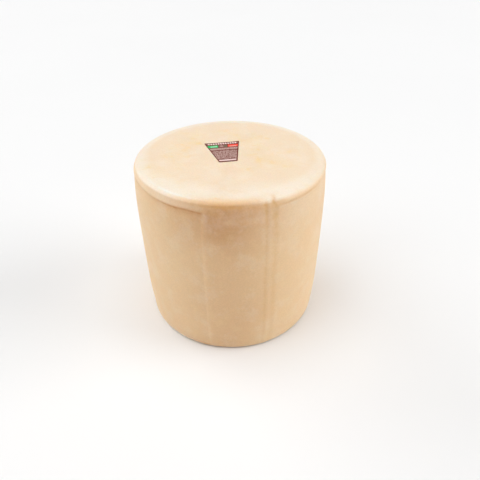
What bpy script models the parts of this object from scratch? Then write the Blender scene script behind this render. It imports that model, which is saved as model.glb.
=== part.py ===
"""Uncut wheel of hard sheep's milk cheese with a paper label on its upper face.

The wheel stands on its lower face at z = 0 with its axis on Z, and the label reads
upright from -Y. Angles round the wheel are measured from +X towards +Y.
"""
import math

import bmesh
import bpy

# Wheel: a pressed drum with full sides, even over most of the height, and soft shoulders
WHEEL_HEIGHT = 0.305
EDGE_RADIUS = 0.1595
SIDE_FULLNESS = 0.0065
SIDE_EVENNESS = 4
SHOULDER_RADIUS = 0.0078
BROW_WIDTH = 0.024
BROW_DROP = 0.0008
TURN_STEPS = 128

# Mark of the mould band: one wide shallow hollow round the side, open between its ends
BAND_DEPTH = 0.0012
BAND_MARGIN = 0.0130
BAND_RISE = 0.0038
BAND_START = math.radians(-73.5)
BAND_END = math.radians(247.5)
BAND_STEPS = 112
CUTTER_REACH = 0.006

# Narrow marks: two upright seams where the band starts, and one rib line inside it
SEAM_ANGLES = (math.radians(-80.3), math.radians(-74.6))
SEAM_RADIUS = 0.0016
RIB_RADIUS = 0.0014
ROD_STANDOFF = 0.0005
ROD_ROUNDNESS = 1
RIB_BELOW_TOP = 0.0150
RIB_START = math.radians(-72.0)
RIB_END = math.radians(-30.0)
RIB_POINTS = 22

# Label: an upright trapezium, wide edge away from the viewer
LABEL_TOP_WIDTH = 0.0624
LABEL_BOTTOM_WIDTH = 0.0302
LABEL_HEIGHT = 0.0773
LABEL_CORNER = 0.0012
LABEL_CENTRE = (-0.0062, 0.0139)
LABEL_THICKNESS = 0.0004
GAP = 0.0003

CORNER_STEPS = 5
SIDE_STEPS = 9
BROW_STEPS = 3
MERGE = 0.00001
SHARP_ANGLE = math.radians(40.0)

RIND_COLOUR = (0.86, 0.70, 0.47)
RIND_ROUGHNESS = 0.48
LABEL_COLOUR = (0.10, 0.035, 0.028)
LABEL_ROUGHNESS = 0.50


def clear_scene():
    """Remove whatever the opened scene holds."""
    for obj in list(bpy.data.objects):
        bpy.data.objects.remove(obj, do_unlink=True)


def new_collection(name):
    """Make a collection under the scene's own."""
    collection = bpy.data.collections.new(name)
    bpy.context.scene.collection.children.link(collection)
    return collection


def new_material(name, colour, roughness, metallic=0.0):
    """Make a Principled material from one colour."""
    material = bpy.data.materials.new(name)
    material.use_nodes = True
    shader = material.node_tree.nodes["Principled BSDF"]
    shader.inputs["Base Color"].default_value = (*colour, 1.0)
    shader.inputs["Roughness"].default_value = roughness
    shader.inputs["Metallic"].default_value = metallic
    material.diffuse_color = (*colour, 1.0)
    return material


def side_radius(z):
    """Radius of the full side at a height."""
    from_middle = 2.0 * z / WHEEL_HEIGHT - 1.0
    return EDGE_RADIUS + SIDE_FULLNESS * (1.0 - abs(from_middle) ** SIDE_EVENNESS)


def upper_edge_profile(standoff=0.0):
    """Radius and height from the flat face out over the brow and round the shoulder."""
    shoulder_z = WHEEL_HEIGHT - BROW_DROP - SHOULDER_RADIUS
    centre_r = side_radius(shoulder_z) - SHOULDER_RADIUS
    points = []
    for step in range(BROW_STEPS):
        share = step / BROW_STEPS
        drop = BROW_DROP * (1.0 - math.cos(0.5 * math.pi * share))
        points.append((centre_r - BROW_WIDTH * (1.0 - share), WHEEL_HEIGHT - drop + standoff))
    for step in range(CORNER_STEPS + 1):
        angle = 0.5 * math.pi * step / CORNER_STEPS
        reach = SHOULDER_RADIUS + standoff
        points.append((centre_r + reach * math.sin(angle), shoulder_z + reach * math.cos(angle)))
    return points


def side_profile(top, bottom, steps, standoff=0.0):
    """Radius and height down the side, from one height to another."""
    heights = [top + (bottom - top) * step / steps for step in range(steps + 1)]
    return [(side_radius(z) + standoff, z) for z in heights]


def mirrored(points):
    """The same profile on the lower half, in top-to-bottom order."""
    return [(r, WHEEL_HEIGHT - z) for r, z in reversed(points)]


def wheel_profile():
    """Whole outline of the wheel, from the axis on top to the axis underneath."""
    upper = upper_edge_profile()
    side = side_profile(upper[-1][1], WHEEL_HEIGHT - upper[-1][1], SIDE_STEPS)[1:-1]
    return [(0.0, WHEEL_HEIGHT)] + upper + side + mirrored(upper) + [(0.0, 0.0)]


def profile_object(name, points, collection):
    """Lay (radius, height) points in the XZ plane as a chain of edges."""
    mesh = bpy.data.meshes.new(name)
    chain = [(i, i + 1) for i in range(len(points) - 1)]
    mesh.from_pydata([(r, 0.0, z) for r, z in points], chain, [])
    obj = bpy.data.objects.new(name, mesh)
    collection.objects.link(obj)
    return obj


def turn(obj, steps, angle=2.0 * math.pi, rise=0.0):
    """Turn a profile about Z, with an optional rise along the way."""
    screw = obj.modifiers.new("turn", "SCREW")
    screw.axis = "Z"
    screw.angle = angle
    screw.screw_offset = rise
    screw.steps = steps
    screw.render_steps = steps
    screw.use_merge_vertices = True
    screw.merge_threshold = MERGE
    screw.use_smooth_shade = True
    return screw


def hide_cutter(obj):
    """Show a cutter as wire only."""
    obj.hide_render = True
    obj.display_type = "WIRE"


def band_cutter(collection):
    """Partial turned shell that presses the mould band's hollow into the side."""
    top = WHEEL_HEIGHT - BAND_MARGIN
    bottom = BAND_MARGIN - BAND_RISE
    cutter = profile_object("band_press", side_profile(top, bottom, SIDE_STEPS, -BAND_DEPTH), collection)
    cutter.location.z = BAND_RISE
    cutter.rotation_euler.z = BAND_START
    turn(cutter, BAND_STEPS, BAND_END - BAND_START, -BAND_RISE)
    shell = cutter.modifiers.new("outward", "SOLIDIFY")
    shell.thickness = CUTTER_REACH
    shell.offset = 1.0
    hide_cutter(cutter)
    return cutter


def tube_cutter(name, path, radius, collection):
    """Round rod along a path, made a closed mesh so that it can cut."""
    data = bpy.data.curves.new(name, "CURVE")
    data.dimensions = "3D"
    data.bevel_depth = radius
    data.bevel_resolution = ROD_ROUNDNESS
    data.use_fill_caps = True
    spline = data.splines.new("POLY")
    spline.points.add(len(path) - 1)
    for point, place in zip(spline.points, path):
        point.co = (*place, 1.0)
    curve = bpy.data.objects.new(name + "_path", data)
    collection.objects.link(curve)
    bpy.context.view_layer.update()
    evaluated = curve.evaluated_get(bpy.context.evaluated_depsgraph_get())
    mesh = bpy.data.meshes.new_from_object(evaluated)
    work = bmesh.new()
    work.from_mesh(mesh)
    bmesh.ops.remove_doubles(work, verts=work.verts, dist=MERGE)
    bmesh.ops.recalc_face_normals(work, faces=work.faces)
    work.to_mesh(mesh)
    work.free()
    rod = bpy.data.objects.new(name, mesh)
    rod.matrix_world = curve.matrix_world
    collection.objects.link(rod)
    bpy.data.objects.remove(curve, do_unlink=True)
    hide_cutter(rod)
    return rod


def seam_path(angle):
    """Line just outside the wheel, over the upper shoulder, down and round the lower one."""
    upper = upper_edge_profile(ROD_STANDOFF)[BROW_STEPS:]
    side = side_profile(upper[-1][1], WHEEL_HEIGHT - upper[-1][1], SIDE_STEPS, ROD_STANDOFF)[1:-1]
    outline = upper + side + mirrored(upper)
    return [(r * math.cos(angle), r * math.sin(angle), z) for r, z in outline]


def rib_path():
    """Level line on the floor of the band's hollow."""
    z = WHEEL_HEIGHT - RIB_BELOW_TOP
    r = side_radius(z) - BAND_DEPTH + ROD_STANDOFF
    points = []
    for step in range(RIB_POINTS):
        angle = RIB_START + (RIB_END - RIB_START) * step / (RIB_POINTS - 1)
        points.append((r * math.cos(angle), r * math.sin(angle), z))
    return points


def cut(obj, cutter):
    """Take a cutter out of a solid."""
    boolean = obj.modifiers.new("cut_" + cutter.name, "BOOLEAN")
    boolean.operation = "DIFFERENCE"
    boolean.solver = "EXACT"
    boolean.object = cutter


def settle(obj):
    """Keep the finished solid as the object's own mesh, smooth but for its sharp steps."""
    bpy.context.view_layer.update()
    evaluated = obj.evaluated_get(bpy.context.evaluated_depsgraph_get())
    mesh = bpy.data.meshes.new_from_object(evaluated)
    obj.modifiers.clear()
    obj.data = mesh
    mesh.shade_smooth()
    mesh.set_sharp_from_angle(angle=SHARP_ANGLE)


def build_wheel(parts, cutters):
    """Turn the wheel and press the mould's marks into its side."""
    wheel = profile_object("cheese_wheel", wheel_profile(), parts)
    turn(wheel, TURN_STEPS)
    cut(wheel, band_cutter(cutters))
    for number, angle in enumerate(SEAM_ANGLES, start=1):
        name = "seam_%d" % number
        cut(wheel, tube_cutter(name, seam_path(angle), SEAM_RADIUS, cutters))
    cut(wheel, tube_cutter("rib_line", rib_path(), RIB_RADIUS, cutters))
    settle(wheel)
    wheel.data.materials.append(new_material("cheese_rind", RIND_COLOUR, RIND_ROUGHNESS))
    return wheel


def rounded_trapezium():
    """Outline of the label with its four corners rounded, anticlockwise."""
    half_top, half_bottom, half_height = LABEL_TOP_WIDTH / 2, LABEL_BOTTOM_WIDTH / 2, LABEL_HEIGHT / 2
    corners = [(-half_bottom, -half_height), (half_bottom, -half_height),
               (half_top, half_height), (-half_top, half_height)]
    points = []
    for index, corner in enumerate(corners):
        before = corners[index - 1]
        after = corners[(index + 1) % len(corners)]
        start = math.atan2(corner[1] - before[1], corner[0] - before[0]) - 0.5 * math.pi
        turned = math.atan2(after[1] - corner[1], after[0] - corner[0]) - 0.5 * math.pi
        sweep = (turned - start) % (2.0 * math.pi)
        reach = LABEL_CORNER / math.cos(0.5 * sweep)
        middle = start + 0.5 * sweep
        centre = (corner[0] - reach * math.cos(middle), corner[1] - reach * math.sin(middle))
        for step in range(CORNER_STEPS + 1):
            angle = start + sweep * step / CORNER_STEPS
            points.append((centre[0] + LABEL_CORNER * math.cos(angle),
                           centre[1] + LABEL_CORNER * math.sin(angle)))
    return points


def build_label(parts):
    """Thin paper plate lying just clear of the wheel's flat face."""
    outline = rounded_trapezium()
    data = bpy.data.curves.new("paper_label", "CURVE")
    data.dimensions = "2D"
    data.fill_mode = "BOTH"
    data.extrude = LABEL_THICKNESS / 2
    spline = data.splines.new("POLY")
    spline.points.add(len(outline) - 1)
    for point, (x, y) in zip(spline.points, outline):
        point.co = (x, y, 0.0, 1.0)
    spline.use_cyclic_u = True
    label = bpy.data.objects.new("paper_label", data)
    label.location = (*LABEL_CENTRE, WHEEL_HEIGHT + GAP + LABEL_THICKNESS / 2)
    parts.objects.link(label)
    data.materials.append(new_material("label_paper", LABEL_COLOUR, LABEL_ROUGHNESS))
    return label


def main():
    """Build the wheel and its label."""
    clear_scene()
    parts = new_collection("pecorino_wheel")
    cutters = new_collection("cutters")
    build_wheel(parts, cutters)
    build_label(parts)


main()
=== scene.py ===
"""Looks of a whole drum of hard sheep's milk cheese with a paper label on its upper face.

Sizes are in metres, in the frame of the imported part: the drum stands on z = 0 with its axis
on Z, and the label is upright as seen from -Y. Angles round the drum run from +X towards +Y.
"""

import logging
import math
from dataclasses import dataclass, field
from enum import Enum

import bpy
import numpy as np
from mathutils import Matrix, Vector


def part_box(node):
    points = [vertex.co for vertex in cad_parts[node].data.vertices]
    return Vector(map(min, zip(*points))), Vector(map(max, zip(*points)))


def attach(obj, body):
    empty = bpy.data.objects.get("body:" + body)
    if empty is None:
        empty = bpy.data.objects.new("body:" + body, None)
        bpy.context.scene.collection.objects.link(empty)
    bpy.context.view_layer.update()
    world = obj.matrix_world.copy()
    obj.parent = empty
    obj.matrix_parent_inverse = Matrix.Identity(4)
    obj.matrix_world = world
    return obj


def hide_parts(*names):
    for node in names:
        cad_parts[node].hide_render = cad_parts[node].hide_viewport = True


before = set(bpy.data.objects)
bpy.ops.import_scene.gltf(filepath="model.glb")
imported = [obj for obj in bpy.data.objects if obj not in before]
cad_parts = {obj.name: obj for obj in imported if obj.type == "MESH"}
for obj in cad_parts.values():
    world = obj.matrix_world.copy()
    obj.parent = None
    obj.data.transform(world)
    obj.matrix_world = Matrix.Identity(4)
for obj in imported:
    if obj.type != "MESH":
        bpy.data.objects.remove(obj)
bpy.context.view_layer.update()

logging.basicConfig(level=logging.INFO, format="%(message)s")
log = logging.getLogger("cheese")

MM = 0.001
Socket = bpy.types.NodeSocket
Value = float | tuple | Socket


@dataclass(frozen=True)
class Tone:
    """A colour as a display shows it, from 0 to 255."""

    red: float
    green: float
    blue: float

    def linear(self, gain: float = 1.0) -> tuple[float, float, float, float]:
        """The same colour in linear light, by a display's usual curve.

        Args:
            gain: factor on the three channels.

        Returns:
            Red, green, blue and an alpha of 1.
        """
        channels = []
        for shown in (self.red, self.green, self.blue):
            share = shown / 255.0
            low = share / 12.92
            high = ((share + 0.055) / 1.055) ** 2.4
            channels.append(gain * (low if share <= 0.04045 else high))
        return (*channels, 1.0)


class Blend(Enum):
    """Ways to lay one colour over another."""

    OVER = "MIX"
    DARKEN = "MULTIPLY"


class Sum(Enum):
    """Sums that a Math node does."""

    ADD = "ADD"
    TAKE = "SUBTRACT"
    TIMES = "MULTIPLY"
    OVER = "DIVIDE"
    LEAST = "MINIMUM"
    MOST = "MAXIMUM"
    SIZE = "ABSOLUTE"
    FLOOR = "FLOOR"


@dataclass
class NodeBench:
    """Places and joins the nodes of one shader tree, laid out in rows."""

    tree: bpy.types.NodeTree
    made: int = 0
    in_row: int = 12
    column_width: float = 180.0
    row_height: float = 220.0

    def place(self, kind: str, **settings: object) -> bpy.types.Node:
        """Add a node and set its plain properties.

        Args:
            kind: the node's type name.
            settings: property values, by name.

        Returns:
            The new node.
        """
        node = self.tree.nodes.new(kind)
        row, column = divmod(self.made, self.in_row)
        node.location = (self.column_width * column, -self.row_height * row)
        self.made += 1
        for name, value in settings.items():
            setattr(node, name, value)
        return node

    def feed(self, socket: Socket, value: Value) -> None:
        """Join a socket to another one, or set it to a plain value.

        Args:
            socket: the input to fill.
            value: an output socket, a number or a vector.
        """
        if isinstance(value, bpy.types.NodeSocket):
            self.tree.links.new(value, socket)
        else:
            socket.default_value = value

    def fill(self, node: bpy.types.Node, **inputs: Value) -> bpy.types.Node:
        """Fill several inputs of a node.

        Args:
            node: the node.
            inputs: its inputs by name, with _ for a space.

        Returns:
            The same node.
        """
        for name, value in inputs.items():
            self.feed(node.inputs[name.replace("_", " ")], value)
        return node

    def sum(self, how: Sum, first: Value, second: Value = 0.0, clamp: bool = False) -> Socket:
        """Work out one number from two.

        Args:
            how: the sum.
            first: its first number.
            second: its second number, where it has one.
            clamp: hold the result between 0 and 1.

        Returns:
            The result's socket.
        """
        node = self.place("ShaderNodeMath", operation=how.value, use_clamp=clamp)
        self.feed(node.inputs[0], first)
        self.feed(node.inputs[1], second)
        return node.outputs[0]

    def step(self, value: Value, low: Value, high: Value, first: float = 0.0, last: float = 1.0) -> Socket:
        """Ease a number from one level to another as it passes a range.

        Args:
            value: the number.
            low: where the change starts.
            high: where it ends.
            first: the level below the range.
            last: the level above it.

        Returns:
            The eased number's socket.
        """
        node = self.place("ShaderNodeMapRange", interpolation_type="SMOOTHSTEP")
        self.fill(node, Value=value, From_Min=low, From_Max=high, To_Min=first, To_Max=last)
        return node.outputs["Result"]

    def fall(self, value: Value, low: float, high: float) -> Socket:
        """Ease from 1 to 0 as a number passes a range."""
        return self.step(value, low, high, 1.0, 0.0)

    def between(self, mask: Socket, first: float, last: float) -> Socket:
        """Ease from one level to another as a mask goes from 0 to 1."""
        return self.step(mask, 0.0, 1.0, first, last)

    def lay(self, under: Value, over: Value, share: Value, how: Blend = Blend.OVER) -> Socket:
        """Lay one colour over another. Inputs 6 and 7 and output 2 are the node's colours.

        Args:
            under: the colour below.
            over: the colour on top.
            share: how much of the top one shows.
            how: the way they mix.

        Returns:
            The mixed colour's socket.
        """
        node = self.place("ShaderNodeMix", data_type="RGBA", blend_type=how.value)
        self.feed(node.inputs["Factor"], share)
        self.feed(node.inputs[6], under)
        self.feed(node.inputs[7], over)
        return node.outputs[2]

    def coats(self, colour: Value, *layers: tuple[Tone, Value]) -> Socket:
        """Lay tones over a colour, one after another.

        Args:
            colour: the colour below them all.
            layers: each tone, with how much of it shows.

        Returns:
            The last colour's socket.
        """
        for tone, share in layers:
            colour = self.lay(colour, tone.linear(), share)
        return colour

    def noise(self, place: Socket, scale: Value, detail: float = 3.0, rough: float = 0.5) -> Socket:
        """Cloudy noise from 0 to 1 over a surface.

        Args:
            place: the point on the surface.
            scale: how many clouds a metre takes.
            detail: how many finer layers are added.
            rough: how strong the finer layers are.

        Returns:
            The noise's socket.
        """
        node = self.place("ShaderNodeTexNoise")
        return self.fill(node, Vector=place, Scale=scale, Detail=detail, Roughness=rough).outputs["Fac"]

    def bump(self, height: Socket, depth: float) -> Socket:
        """Turn a height into a normal.

        Args:
            height: the height, from 0 to 1 or so.
            depth: how many metres a height of 1 stands for.

        Returns:
            The normal's socket.
        """
        return self.fill(self.place("ShaderNodeBump"), Height=height, Distance=depth).outputs["Normal"]

    def parts(self, place: Socket) -> tuple[Socket, Socket]:
        """The first two parts of a point, across and up."""
        split = self.fill(self.place("ShaderNodeSeparateXYZ"), Vector=place)
        return split.outputs[0], split.outputs[1]

    def painted(self, name: str) -> Socket:
        """The mask of that name that a mesh carries."""
        return self.place("ShaderNodeAttribute", attribute_name=name).outputs["Fac"]

    def here(self) -> Socket:
        """The point on the piece, in metres in the piece's own frame."""
        return self.place("ShaderNodeTexCoord").outputs["Object"]

    def effect(self, group: bpy.types.NodeTree, **inputs: Value) -> Socket:
        """Place a shared effect with its own values, by name with _ for a space, and give its result."""
        return self.fill(self.place("ShaderNodeGroup", node_tree=group), **inputs).outputs[0]


@dataclass(frozen=True)
class Effect:
    """A shader effect that several finishes share, as a node group."""

    name: str
    numbers: tuple[tuple[str, float], ...]
    result: str

    def open(self) -> tuple[NodeBench, bpy.types.bpy_prop_collection]:
        """Make the group with its named inputs and its one output.

        Returns:
            The bench to build on, and the inputs by name.
        """
        tree = bpy.data.node_groups.new(self.name, "ShaderNodeTree")
        tree.interface.new_socket(name="Place", in_out="INPUT", socket_type="NodeSocketVector")
        for name, usual in self.numbers:
            socket = tree.interface.new_socket(name=name, in_out="INPUT", socket_type="NodeSocketFloat")
            socket.default_value = usual
        tree.interface.new_socket(name=self.result, in_out="OUTPUT", socket_type="NodeSocketFloat")
        bench = NodeBench(tree)
        return bench, bench.place("NodeGroupInput").outputs

    def close(self, bench: NodeBench, value: Socket) -> bpy.types.NodeTree:
        """Put the value out of the group, and give the group."""
        bench.feed(bench.place("NodeGroupOutput").inputs[self.result], value)
        return bench.tree

    def build(self) -> bpy.types.NodeTree:
        """Build the group. Each kind of effect has its own."""
        raise NotImplementedError


@dataclass(frozen=True)
class SoftPatches(Effect):
    """Blotches with soft uneven edges, such as oil showing through a rind.

    Finer is how many times closer the clouds lie that make the edges ragged.
    """

    name: str = "soft patches"
    numbers: tuple[tuple[str, float], ...] = (("Scale", 30.0), ("From", 0.5), ("To", 0.7), ("Ragged", 0.4))
    result: str = "Mask"
    finer: float = 5.3

    def build(self) -> bpy.types.NodeTree:
        """Build the group.

        Returns:
            The node group.
        """
        bench, given = self.open()
        cloud = bench.noise(given["Place"], given["Scale"], detail=2.0)
        finer = bench.sum(Sum.TIMES, given["Scale"], self.finer)
        edge = bench.noise(given["Place"], finer, detail=4.0, rough=0.6)
        ragged = bench.sum(Sum.TAKE, edge, 0.5)
        value = bench.sum(Sum.ADD, cloud, bench.sum(Sum.TIMES, ragged, given["Ragged"]))
        return self.close(bench, bench.step(value, given["From"], given["To"]))


@dataclass(frozen=True)
class FineGrain(Effect):
    """Close grain with scattered pits, as a height.

    The pit's edge is where its wall runs, as a share of a cell, and pitted areas is how many
    clouds of pits a metre takes.
    """

    name: str = "fine grain"
    numbers: tuple[tuple[str, float], ...] = (("Scale", 700.0), ("Pit Scale", 240.0), ("Pits", 0.6))
    result: str = "Height"
    pit_edge: tuple[float, float] = (0.08, 0.26)
    pitted_areas: float = 60.0

    def build(self) -> bpy.types.NodeTree:
        """Build the group.

        Returns:
            The node group.
        """
        bench, given = self.open()
        grain = bench.noise(given["Place"], given["Scale"], detail=3.0, rough=0.55)
        cells = bench.place("ShaderNodeTexVoronoi", feature="F1")
        bench.fill(cells, Vector=given["Place"], Scale=given["Pit Scale"])
        hole = bench.fall(cells.outputs["Distance"], *self.pit_edge)
        few = bench.step(bench.noise(given["Place"], self.pitted_areas, detail=2.0), 0.52, 0.66)
        pits = bench.sum(Sum.TIMES, bench.sum(Sum.TIMES, hole, few), given["Pits"])
        return self.close(bench, bench.sum(Sum.TAKE, grain, pits))


@dataclass(frozen=True)
class PrintField(Effect):
    """A printed block with straight level edges and sides that may lean."""

    name: str = "print field"
    numbers: tuple[tuple[str, float], ...] = (
        ("Left", -1.0), ("Right", 1.0), ("Bottom", -1.0), ("Top", 1.0),
        ("Left Lean", 0.0), ("Right Lean", 0.0))
    result: str = "Mask"
    softness: float = 0.12

    def build(self) -> bpy.types.NodeTree:
        """Build the group. Its numbers are millimetres, and a lean is millimetres out per millimetre up.

        Returns:
            The node group.
        """
        bench, given = self.open()
        across, up = bench.parts(given["Place"])
        left = bench.sum(Sum.TAKE, given["Left"], bench.sum(Sum.TIMES, up, given["Left Lean"]))
        right = bench.sum(Sum.ADD, given["Right"], bench.sum(Sum.TIMES, up, given["Right Lean"]))
        least = bench.sum(Sum.TAKE, across, left)
        for above, under in ((right, across), (up, given["Bottom"]), (given["Top"], up)):
            least = bench.sum(Sum.LEAST, least, bench.sum(Sum.TAKE, above, under))
        return self.close(bench, bench.step(least, -self.softness, self.softness))


@dataclass(frozen=True)
class DashRows(Effect):
    """Level rows of short dashes of uneven length.

    Row shift and row step take each row to a fresh place in the noise that breaks it up.
    """

    name: str = "dash rows"
    numbers: tuple[tuple[str, float], ...] = (
        ("Pitch", 2.6), ("Thickness", 0.9), ("Dash", 3.0), ("Filled", 0.7))
    result: str = "Mask"
    row_shift: float = 7.31
    row_step: float = 3.77
    gap_noise: float = 2.3
    row_softness: float = 0.1
    end_softness: float = 0.02

    def build(self) -> bpy.types.NodeTree:
        """Build the group. Its lengths are millimetres.

        Returns:
            The node group.
        """
        bench, given = self.open()
        across, up = bench.parts(given["Place"])
        row = bench.sum(Sum.OVER, up, given["Pitch"])
        number = bench.sum(Sum.FLOOR, row)
        from_middle = bench.sum(Sum.SIZE, bench.sum(Sum.TAKE, bench.sum(Sum.TAKE, row, number), 0.5))
        height = bench.sum(Sum.TIMES, from_middle, given["Pitch"])
        half = bench.sum(Sum.TIMES, given["Thickness"], 0.5)
        in_row = bench.step(bench.sum(Sum.TAKE, half, height), -self.row_softness, self.row_softness)
        along = bench.sum(Sum.OVER, across, given["Dash"])
        shifted = bench.sum(Sum.ADD, along, bench.sum(Sum.TIMES, number, self.row_shift))
        spot = bench.place("ShaderNodeCombineXYZ")
        bench.fill(spot, X=shifted, Y=bench.sum(Sum.TIMES, number, self.row_step))
        strength = bench.noise(spot.outputs[0], self.gap_noise, detail=1.0)
        from_end = bench.sum(Sum.TAKE, given["Filled"], strength)
        in_dash = bench.step(from_end, -self.end_softness, self.end_softness)
        return self.close(bench, bench.sum(Sum.TIMES, in_row, in_dash))


@dataclass
class EffectShelf:
    """The shared effects, built once."""

    patches: bpy.types.NodeTree = field(default_factory=lambda: SoftPatches().build())
    grain: bpy.types.NodeTree = field(default_factory=lambda: FineGrain().build())
    block: bpy.types.NodeTree = field(default_factory=lambda: PrintField().build())
    dashes: bpy.types.NodeTree = field(default_factory=lambda: DashRows().build())


@dataclass
class Coat:
    """A material with one Principled shader, and the bench for its nodes."""

    name: str

    def __post_init__(self) -> None:
        """Make the material."""
        self.material = bpy.data.materials.new(self.name)
        self.material.use_nodes = True
        self.bench = NodeBench(self.material.node_tree)
        self.here = self.bench.here()

    def dress(self, **inputs: Value) -> bpy.types.Material:
        """Fill the shader's inputs, by name with _ for a space, and give the material."""
        self.bench.fill(self.material.node_tree.nodes["Principled BSDF"], **inputs)
        return self.material


@dataclass(frozen=True)
class RindFinish:
    """Ivory rind: pale at the rims, yellower in patches, deeper in tone on the side, with painted shade on
    the side's front and in the creases and a painted highlight along the left brow.

    Roughness and mottle run between their two values. The reach of light and the depth of the
    grain are in metres, and the shares say how strongly each thing shows.
    """

    face: Tone = Tone(250, 226, 198)
    rim: Tone = Tone(255, 241, 224)
    brow_highlight: Tone = Tone(255, 252, 246)
    patch: Tone = Tone(250, 219, 168)
    side: Tone = Tone(246, 209, 162)
    side_shade_tone: Tone = Tone(214, 158, 104)
    stain_and_shade: Tone = Tone(228, 178, 106)
    crease_tint_and_shade: Tone = Tone(212, 148, 88)
    roughness: tuple[float, float] = (0.43, 0.58)
    mottle: tuple[float, float] = (0.965, 1.03)
    translucency: float = 0.3
    depth_of_light: tuple[float, float, float] = (1.0, 0.62, 0.34)
    light_reach: float = 0.005
    grain_depth: float = 0.00009
    waxy_share: float = 3.0
    rim_polish: float = 0.06
    pale_share: float = 0.17
    patch_share: float = 0.76
    stray_share: float = 0.16

    def build(self, shelf: EffectShelf) -> bpy.types.Material:
        """Build the material.

        Args:
            shelf: the shared effects.

        Returns:
            The material.
        """
        coat = Coat("rind")
        bench = coat.bench
        cloud = bench.noise(coat.here, scale=45.0, detail=4.0)
        dull = bench.step(cloud, 0.3, 0.7, *self.roughness)
        worn = bench.sum(Sum.TIMES, bench.painted("rim"), self.rim_polish)
        return coat.dress(
            Base_Color=self.paint(bench, shelf, coat.here),
            Roughness=bench.sum(Sum.TAKE, dull, worn),
            Normal=self.texture(bench, shelf, coat.here),
            Subsurface_Weight=self.translucency,
            Subsurface_Radius=self.depth_of_light,
            Subsurface_Scale=self.light_reach)

    def paint(self, bench: NodeBench, shelf: EffectShelf, here: Socket) -> Socket:
        """Lay the rind's colours over each other.

        Args:
            bench: the material's bench.
            shelf: the shared effects.
            here: the point on the surface.

        Returns:
            The colour's socket.
        """
        # Painted shade: the side is laid darker at its front and far right, by the mask that the drum
        # paints there.
        side = bench.lay(self.side.linear(), self.side_shade_tone.linear(), bench.painted("side_shade"))
        ground = bench.lay(self.face.linear(), side, bench.painted("side"))
        milky = bench.effect(shelf.patches, Place=here, Scale=34.0, From=0.44, To=0.72, Ragged=0.5)
        clouds = bench.sum(Sum.TIMES, milky, bench.between(bench.painted("side"), 0.3, 0.15))
        field_pale = bench.sum(Sum.TIMES, bench.painted("pale"), self.pale_share)
        pale = bench.sum(Sum.ADD, clouds, field_pale, clamp=True)
        small = bench.effect(shelf.patches, Place=here, Scale=62.0, From=0.5, To=0.72, Ragged=0.5)
        placed = bench.sum(Sum.TIMES, bench.painted("patch"), bench.between(small, 0.35, 1.0))
        placed = bench.sum(Sum.TIMES, placed, self.patch_share)
        stray = bench.sum(Sum.TIMES, small, self.stray_share)
        yellow = bench.sum(Sum.ADD, placed, stray, clamp=True)
        streak = bench.effect(shelf.patches, Place=here, Scale=110.0, From=0.35, To=0.7, Ragged=0.4)
        # Partly a real stain, partly painted shade at the front shoulder.
        stain_and_shade = bench.sum(Sum.TIMES, bench.painted("stain_and_shade"), bench.between(streak, 0.6, 1.0))
        # Partly the marks' own tint, partly painted shade in and below them.
        crease_tint_and_shade = bench.sum(Sum.TIMES, bench.painted("crease_tint_and_shade"), bench.between(streak, 0.7, 1.0))
        # The brow highlight layer is a painted highlight.
        colour = bench.coats(ground, (self.rim, pale), (self.rim, bench.painted("rim")),
                             (self.brow_highlight, bench.painted("brow_highlight")), (self.patch, yellow),
                             (self.stain_and_shade, stain_and_shade), (self.crease_tint_and_shade, crease_tint_and_shade))
        speck = bench.step(bench.noise(here, scale=420.0, rough=0.6), 0.30, 0.70, *self.mottle)
        shade = bench.fill(bench.place("ShaderNodeCombineColor"), Red=speck, Green=speck, Blue=speck)
        return bench.lay(colour, shade.outputs[0], 1.0, Blend.DARKEN)

    def texture(self, bench: NodeBench, shelf: EffectShelf, here: Socket) -> Socket:
        """Close grain, pits and a faint waxy unevenness, too fine for the mesh.

        Args:
            bench: the material's bench.
            shelf: the shared effects.
            here: the point on the surface.

        Returns:
            The normal's socket.
        """
        grain = bench.effect(shelf.grain, Place=here, Scale=520.0, Pit_Scale=190.0, Pits=1.6)
        waxy = bench.noise(here, scale=95.0, detail=4.0, rough=0.55)
        waxy = bench.sum(Sum.TIMES, waxy, self.waxy_share)
        return bench.bump(bench.sum(Sum.ADD, grain, waxy), self.grain_depth)


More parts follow.
